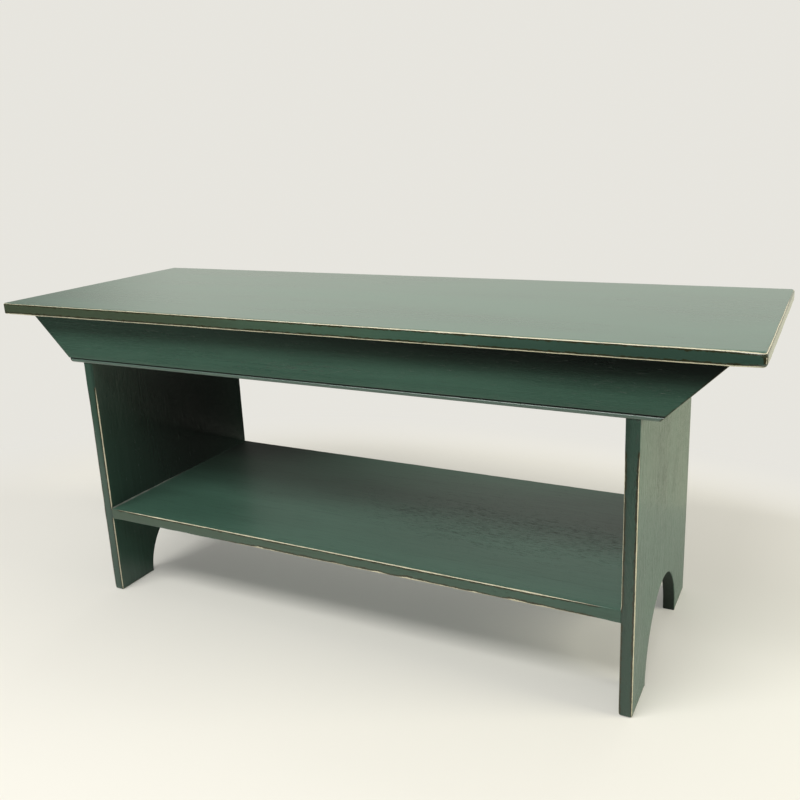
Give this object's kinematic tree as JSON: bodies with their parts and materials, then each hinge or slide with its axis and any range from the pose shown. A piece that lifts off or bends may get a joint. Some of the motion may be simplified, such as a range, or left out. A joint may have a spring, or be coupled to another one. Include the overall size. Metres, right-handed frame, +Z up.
{
  "type": "bed bench",
  "caption": "Painted plank bench for the foot of a bed: seat board on board legs with half-round cut-outs, beaded aprons with sloping ends and a low shelf.",
  "frame": {"origin": "on the floor, under the middle of the seat board", "axes": "+X to the right along the seat's length as seen from the front, +Y to the rear, +Z up"},
  "size_m": [1.2382, 0.4382, 0.5334],
  "materials": {
    "painted_wood": "satin paint, sanded through along the edges",
    "nail_steel": "bright wire"
  },
  "bodies": {
    "root": {"seat_board": "painted_wood", "front_apron": "painted_wood", "rear_apron": "painted_wood", "left_leg": "painted_wood", "right_leg": "painted_wood", "shelf_board": "painted_wood", "nail_seat_to_front_apron_1": "nail_steel", "nail_seat_to_front_apron_2": "nail_steel", "nail_seat_to_front_apron_3": "nail_steel", "nail_seat_to_front_apron_4": "nail_steel", "nail_seat_to_front_apron_5": "nail_steel", "nail_seat_to_rear_apron_1": "nail_steel", "nail_seat_to_rear_apron_2": "nail_steel", "nail_seat_to_rear_apron_3": "nail_steel", "nail_seat_to_rear_apron_4": "nail_steel", "nail_seat_to_rear_apron_5": "nail_steel", "nail_seat_to_left_leg_1": "nail_steel", "nail_seat_to_left_leg_2": "nail_steel", "nail_seat_to_left_leg_3": "nail_steel", "nail_seat_to_right_leg_1": "nail_steel", "nail_seat_to_right_leg_2": "nail_steel", "nail_seat_to_right_leg_3": "nail_steel", "nail_front_apron_to_left_leg_1": "nail_steel", "nail_front_apron_to_left_leg_2": "nail_steel", "nail_front_apron_to_right_leg_1": "nail_steel", "nail_front_apron_to_right_leg_2": "nail_steel", "nail_rear_apron_to_left_leg_1": "nail_steel", "nail_rear_apron_to_left_leg_2": "nail_steel", "nail_rear_apron_to_right_leg_1": "nail_steel", "nail_rear_apron_to_right_leg_2": "nail_steel", "nail_left_leg_to_shelf_1": "nail_steel", "nail_left_leg_to_shelf_2": "nail_steel", "nail_left_leg_to_shelf_3": "nail_steel", "nail_left_leg_to_shelf_4": "nail_steel", "nail_right_leg_to_shelf_1": "nail_steel", "nail_right_leg_to_shelf_2": "nail_steel", "nail_right_leg_to_shelf_3": "nail_steel", "nail_right_leg_to_shelf_4": "nail_steel"}
  },
  "joints": []
}
